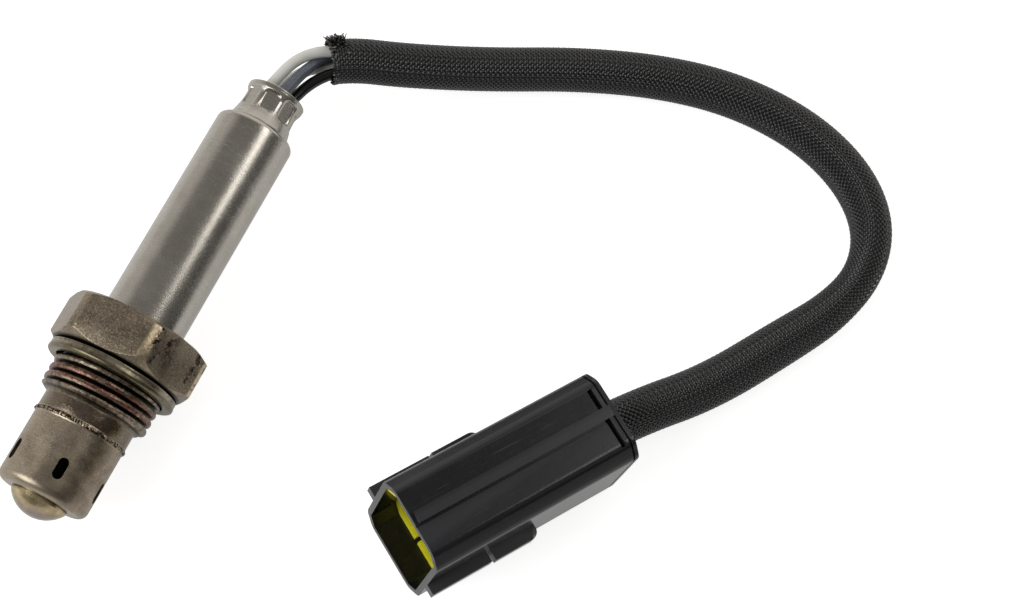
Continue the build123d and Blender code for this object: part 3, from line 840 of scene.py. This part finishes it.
def body_section(angle):
    """The body from its nose up over the spigot, the thread and the hexagon, and down inside."""
    thread_rows = steps(thread_end_y, relief_y, 84)
    return [
        (nose_radius, nose_end_y),
        (nose_radius, spigot_end_y),
        (spigot_radius - 0.12, spigot_end_y),
        (spigot_radius - 0.03, spigot_end_y + 0.03),
        (spigot_radius, spigot_end_y + 0.12),
        (spigot_radius, (spigot_end_y + thread_end_y) / 2),
        *[(thread_surface(angle, y), y) for y in thread_rows],
        (relief_radius, relief_y + 0.1),
        (relief_radius, hex_bottom_y),
        *hexagon_side(angle),
        (socket_radius + 0.15, hex_top_y),
        (socket_radius, hex_top_y - 0.15),
        (socket_radius, socket_y),
        (neck_radius, socket_y),
        (neck_radius, neck_end_y),
        (lip_bore, neck_end_y),
        (lip_bore, lip_y),
        (packing_bore, lip_y),
        (packing_bore, packing_floor_y),
        (nose_bore, packing_floor_y),
        (nose_bore, nose_end_y),
    ]


# The groove that the fold leaves in the ring's skin: its middle and its reach to each side, in
# degrees round the skin, its depth, and the rate of its wave, which ends at that reach
groove_turn = 6
groove_reach = 47
groove_depth = 0.22
groove_rate = 3.8


def gasket_section(angle):
    """The folded ring: a rounded outer skin with a groove in it, and the fold's gap inside."""
    half = gasket_height / 2
    middle = gasket_outer - half
    skin = []
    for turn in steps(-85, 85, 19):
        away = turn - groove_turn
        inside = abs(away) < groove_reach
        groove = groove_depth / 2 * (1 + cos(radians(away) * groove_rate)) * inside
        bulge = half * abs(cos(radians(turn))) ** 0.75
        skin.append((middle + bulge - groove, half + half * sin(radians(turn))))
    return [
        (gasket_inner + 0.15, 0.0),
        (middle, 0.0),
        *skin,
        (middle, gasket_height),
        (gasket_inner + 0.10, gasket_height),
        (gasket_inner, gasket_height - 0.10),
        (gasket_inner, gasket_height - gasket_sheet),
        (gasket_inner + gasket_fold, gasket_height - gasket_sheet),
        (gasket_inner + gasket_fold, gasket_sheet),
        (gasket_inner, gasket_sheet),
        (gasket_inner, 0.12),
    ]


rim_round = 0.22


def crimp_shape(angle, y):
    """The radius of the crimped neck: a long flare with eight flat pockets in it."""
    below = max(0.0, neck_top_y - y) / (neck_top_y - shoulder_y)
    foot = (crease_radius - crimp_neck_radius) * below**2
    lip = (rim_radius - crimp_neck_radius) * smooth(y, neck_top_y + 0.2, neck_top_y + 1.9)
    radius = crimp_neck_radius + foot + lip
    step = 2 * pi / crimp_flats
    away = (angle - radians(90 - crimp_turn) + step / 2) % step - step / 2
    reach = abs(crimp_neck_radius * sin(away)) - (crimp_width / 2 - crimp_corner)
    rise = abs(y - crimp_middle_y) - (crimp_length / 2 - crimp_corner)
    from_corner = sqrt(max(reach, 0.0) ** 2 + max(rise, 0.0) ** 2)
    outside = from_corner + min(max(reach, rise), 0.0) - crimp_corner
    pressed = smooth(-outside, -0.05, 0.32)
    flat = (crimp_neck_radius - crimp_depth) / cos(away)
    return radius + (min(flat, radius) - radius) * pressed


def sleeve_section(angle):
    """The sleeve from its socket up over the shoulder, the crimped neck and the rim, and down inside."""
    bend_middle = (sleeve_radius - shoulder_bend, shoulder_y - shoulder_bend)
    rim_middle = (rim_radius - rim_round, rim_top_y - rim_round)
    crimp_rows = steps(shoulder_y + 0.12, rim_flare_y + 0.3, 66)
    return [
        (sleeve_radius, socket_y),
        *[(sleeve_radius, y) for y in steps(socket_y + 4, shoulder_y - shoulder_bend - 1, 8)],
        *arc(bend_middle, shoulder_bend, 0, 80, 9),
        (crease_radius + 0.18, shoulder_y - 0.06),
        (crease_radius + 0.03, shoulder_y - 0.32),
        (crease_radius - 0.04, shoulder_y - 0.16),
        *[(crimp_shape(angle, y), y) for y in crimp_rows],
        *arc(rim_middle, rim_round, -30, 120, 8),
        (rim_radius - sleeve_wall, rim_top_y - 0.10),
        (crimp_bore, rim_flare_y),
        (crimp_bore, shoulder_y - sleeve_wall),
        (sleeve_radius - shoulder_bend, shoulder_y - sleeve_wall),
        (sleeve_radius - sleeve_wall, shoulder_y - shoulder_bend),
        (sleeve_radius - sleeve_wall, socket_y),
    ]


# The weld bead: how far its middle is below the spigot's end, its sizes, and how many ripples
# it has round the shield
bead_below = 0.46
bead_half_width = 0.36
bead_height = 0.17
bead_ripple = 0.05
bead_ripple_count = 95
bead_depth = 0.25


def bead_section(angle):
    """The weld between the spigot and the shield: overlapping ripples, with a rough surface."""
    ripple = bead_ripple * sin(angle * bead_ripple_count + 2.0 * sin(angle * 9))
    outline = []
    for turn in steps(-80, 80, 9):
        y = spigot_end_y - bead_below + bead_half_width * sin(radians(turn))
        place = Vector((10 * cos(angle), 2 * y, 10 * sin(angle)))
        rough = 0.09 * noise.noise(place * 0.9) + 0.05 * noise.noise(place * 2.3)
        height = (bead_height + ripple) * cos(radians(turn)) + rough
        outline.append((shield_radius + 0.05 + height, y))
    inside = shield_radius - bead_depth
    return [*outline, (inside, outline[-1][1]), (inside, outline[0][1])]


def add_turned_pieces():
    body = add_turned("threaded_body", hexagon_angles(), body_section, body_steel)
    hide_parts("hex_shell")
    round_ring, round_sleeve, round_bead = (even_angles(count) for count in (144, 192, 720))
    gasket = add_turned("folded_gasket", round_ring, gasket_section, gasket_steel)
    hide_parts("gasket_ring")
    sleeve = add_turned("crimped_sleeve", round_sleeve, sleeve_section, sleeve_steel)
    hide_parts("rear_sleeve")
    add_turned("weld_bead", round_bead, bead_section, bead_steel)


add_turned_pieces()


# ---- the leads and the woven sleeve ----


def side_of(run):
    """The level direction to the right of a run."""
    return Vector((run.y, -run.x, 0)).normalized()


def beside(points, right, up):
    """The polyline moved to its right and up, its corners mitred so that the runs stay parallel."""
    sides = [side_of(b - a) for a, b in zip(points, points[1:])]
    moved = [points[0] + sides[0] * right]
    for corner, first, second in zip(points[1:-1], sides, sides[1:]):
        mitre = (first + second) / (1 + first.dot(second))
        moved.append(corner + mitre * right)
    moved.append(points[-1] + sides[-1] * right)
    return [p + Vector((0, 0, up)) for p in moved]


def bundle_points():
    """The middle of the four leads, in the frame."""
    return [mm(x, y, floor_z + height) for x, y, height in route]


def in_connector(x, y, z):
    """A place in the connector's own frame, taken to the shared one."""
    return connector_place @ mm(x, y, z)


def add_curve(name, points, radius=0.0):
    """A smooth curve with these control points, round if it has a radius."""
    data = bpy.data.curves.new(name, "CURVE")
    data.dimensions = "3D"
    data.resolution_u = 16
    data.bevel_depth = radius
    data.bevel_resolution = 5
    data.use_fill_caps = True
    spline = data.splines.new("NURBS")
    spline.points.add(len(points) - 1)
    for point, place in zip(spline.points, points):
        point.co = (*place, 1)
    spline.order_u = 3
    spline.use_endpoint_u = True
    curve = bpy.data.objects.new(name, data)
    bpy.context.collection.objects.link(curve)
    return curve


def line_of(points):
    """Points read from the smooth curve with these control points."""
    curve = add_curve("route", points)
    mesh = bpy.data.meshes.new_from_object(curve)
    line = [v.co.copy() for v in mesh.vertices]
    bpy.data.meshes.remove(mesh)
    bpy.data.objects.remove(curve)
    return line


def length_of(line):
    return sum((b - a).length for a, b in zip(line, line[1:]))


def square_place(number):
    """Where a lead lies beside the middle of the bundle in the grommet, right and up, in metres."""
    angle = radians(bundle_turn - 90 * number)
    return mm(bundle_radius) * cos(angle), mm(bundle_radius) * sin(angle)


def lead_points(name, number):
    """A lead's control points up to the connector. The four lie square in the grommet, cross on
    their way to the woven sleeve and lie square again further on in it."""
    straight = beside(bundle_points(), *square_place(number))
    points = [straight[0], straight[0] + mm(0, straight_lead, 0), *straight[1:]]
    for k, (right, up) in enumerate(lead_places[name], start=1):
        points[k + 1] = beside(bundle_points(), mm(right), mm(up))[k]
    return points


def add_leads():
    """The four leads, each a round cord from its ferrule to its pin."""
    half = pin_pitch / 2
    pins = [(half, half), (-half, half), (-half, -half), (half, -half)]
    for i, (name, (x, z)) in enumerate(zip(lead_places, pins)):
        points = lead_points(name, i)
        points.append(in_connector(x, seal_back + retainer_thickness / 2, z))
        points.append(in_connector(x, terminal_end, z))
        lead = add_curve(f"{name}_cord", points, mm(lead_dia / 2))
        lead.data.materials.append(lead_paints[name])
        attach(lead, "root")
        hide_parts(name)
        length_of(line_of(points))


def evenly(line, step):
    """Points at an even spacing along a line, with its direction at each."""
    total = length_of(line)
    count = max(2, round(total / step))
    placed = []
    index, before = 0, 0.0
    for k in range(count + 1):
        want = total * k / count
        while index < len(line) - 2 and before + (line[index + 1] - line[index]).length < want:
            before += (line[index + 1] - line[index]).length
            index += 1
        run = line[index + 1] - line[index]
        placed.append((line[index] + run * ((want - before) / run.length), run.normalized()))
    return placed


def frames_along(line, step):
    """(place, run, side, up, distance) along a line, with no twist about it."""
    up = Vector((0, 0, 1))
    frames = []
    travelled = 0.0
    last = line[0]
    for place, run in evenly(line, step):
        side = run.cross(up).normalized()
        up = side.cross(run).normalized()
        travelled += (place - last).length
        last = place
        frames.append((place, run, side, up, travelled))
    return frames


# The weave: in each weave_period along the sleeve a strand passes over one of the others and
# under the next, rising and sinking by weave_rise. Its edges lie strand_crown below its middle.
strands_each_way = 24
weave_period = 0.86
strand_width = 0.60
strand_crown = 0.17
weave_rise = 0.12
samples_per_period = 6
lining_radius = 3.35

# Where the sleeve is drawn in at its tight bend, how far along it and by what share at most
pinch_place = (97.6, 70.0, -7.2)
pinch_reach = 11.0
pinch_share = 0.16


def braid_points():
    """The woven sleeve's control points, from halfway along the last bare run to the connector."""
    middle = bundle_points()
    start = (middle[bare_run_count] + middle[bare_run_count + 1]) / 2
    return [start, *middle[bare_run_count + 1 :], in_connector(0, seal_back + braid_end_gap, 0)]


def pinch(place):
    """How far the sleeve is drawn in at its tight bend: 1 where it isn't."""
    away = (place - mm(*pinch_place)).length
    return 1 - pinch_share * exp(-((away / mm(pinch_reach)) ** 2))


def add_weave(name, frames, direction):
    """Half of the sleeve's strands: all that turn one way, each over and under the others by turns."""
    turn_rate = 2 * pi / (strands_each_way * mm(weave_period))
    middle_radius = mm(braid_dia / 2 - weave_rise)
    lean = direction * atan2(middle_radius * turn_rate, 1)
    across = [(-0.5, 1.0), (-0.2, 0.0), (0.2, 0.0), (0.5, 1.0)]
    verts, faces = [], []
    for strand in range(strands_each_way):
        first = len(verts)
        start_angle = 2 * pi * strand / strands_each_way
        for place, run, side, up, travelled in frames:
            angle = start_angle + direction * turn_rate * travelled
            over = direction * cos(strands_each_way * turn_rate * travelled)
            radius = middle_radius * pinch(place) + mm(weave_rise) * over
            outward = side * cos(angle) + up * sin(angle)
            round_way = up * cos(angle) - side * sin(angle)
            flat = round_way * cos(lean) - run * sin(lean)
            for share, drop in across:
                height = outward * (radius - mm(strand_crown) * drop)
                verts.append(place + height + flat * mm(strand_width) * share)
        for k in range(len(frames) - 1):
            for j in range(len(across) - 1):
                a = first + k * len(across) + j
                faces.append((a, a + 1, a + 1 + len(across), a + len(across)))
    return add_piece(name, verts, faces, strand_black, 80.0)


# The cut fibres at the sleeve's open end. Those of the tuft come first, about one angle, and the
# others lie all round it. Each pair is a least and a greatest value.
fray_count = 400
tuft_count = 220
tuft_angle = 128
tuft_spread = 17
fibre_radius = 0.075
fibre_roots = (3.4, 3.75)
fibre_sway = (-0.9, 0.9)
fibre_bend = (-0.15, 0.15)
tuft_fibres = {"start": (0.1, 2.8), "length": (0.3, 1.05), "lean": (-0.9, 0.6), "rise": 0.9}
ring_fibres = {"start": (0.0, 0.9), "length": (0.1, 0.45), "lean": (-0.9, -0.3), "rise": 0.2}


def fibre_paths(frame_at_end):
    """Three control points for each cut fibre: its root, its bend and its tip."""
    place, run, side, up, _ = frame_at_end
    paths = []
    for i in range(fray_count):
        tuft = i < tuft_count
        kind = tuft_fibres if tuft else ring_fibres
        angle = radians(random.gauss(tuft_angle, tuft_spread)) if tuft else random.uniform(0, 2 * pi)
        outward = side * cos(angle) + up * sin(angle)
        across = up * cos(angle) - side * sin(angle)
        start = run * mm(random.uniform(*kind["start"]))
        root = place + start + outward * mm(random.uniform(*fibre_roots))
        length = mm(random.uniform(*kind["length"]))
        lean = random.uniform(*kind["lean"])
        way = outward * kind["rise"] + run * lean + across * random.uniform(*fibre_sway)
        tip = root + way * length
        bend = (root + tip) / 2 + across * mm(random.uniform(*fibre_bend))
        paths.append((root, bend, tip))
    return paths


def add_frayed_end(frames):
    """Short cut fibres round the sleeve's open end, with one tuft that stands up. The ring's
    fibres and one in three of the tuft's are pale."""
    paths = fibre_paths(frames[0])
    data = bpy.data.curves.new("frayed_end", "CURVE")
    data.dimensions = "3D"
    data.bevel_depth = mm(fibre_radius)
    data.bevel_resolution = 1
    data.resolution_u = 4
    data.materials.append(fibre_ends)
    data.materials.append(strand_black)
    for i, path in enumerate(paths):
        spline = data.splines.new("NURBS")
        spline.points.add(2)
        spline.material_index = int(i < tuft_count and i % 3 > 0)
        for point, co in zip(spline.points, path):
            point.co = (*co, 1)
        spline.order_u = 3
        spline.use_endpoint_u = True
    curve = bpy.data.objects.new("frayed_end", data)
    bpy.context.collection.objects.link(curve)
    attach(curve, "root")
    return curve


def add_braid():
    """The woven sleeve: two sets of strands over a lining, which is the cord."""
    points = braid_points()
    line = line_of(points)
    frames = frames_along(line, mm(weave_period) / samples_per_period)
    right = add_weave("weave_right", frames, 1)
    left = add_weave("weave_left", frames, -1)
    fray = add_frayed_end(frames)
    lining = add_curve("weave_lining", points, mm(lining_radius))
    lining.data.use_fill_caps = False
    for point in lining.data.splines[0].points:
        point.radius = pinch(point.co.xyz)
    lining.data.materials.append(strand_black)
    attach(lining, "root")
    for piece in (right, left, lining):
        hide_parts("braided_sleeve")


add_leads()
add_braid()
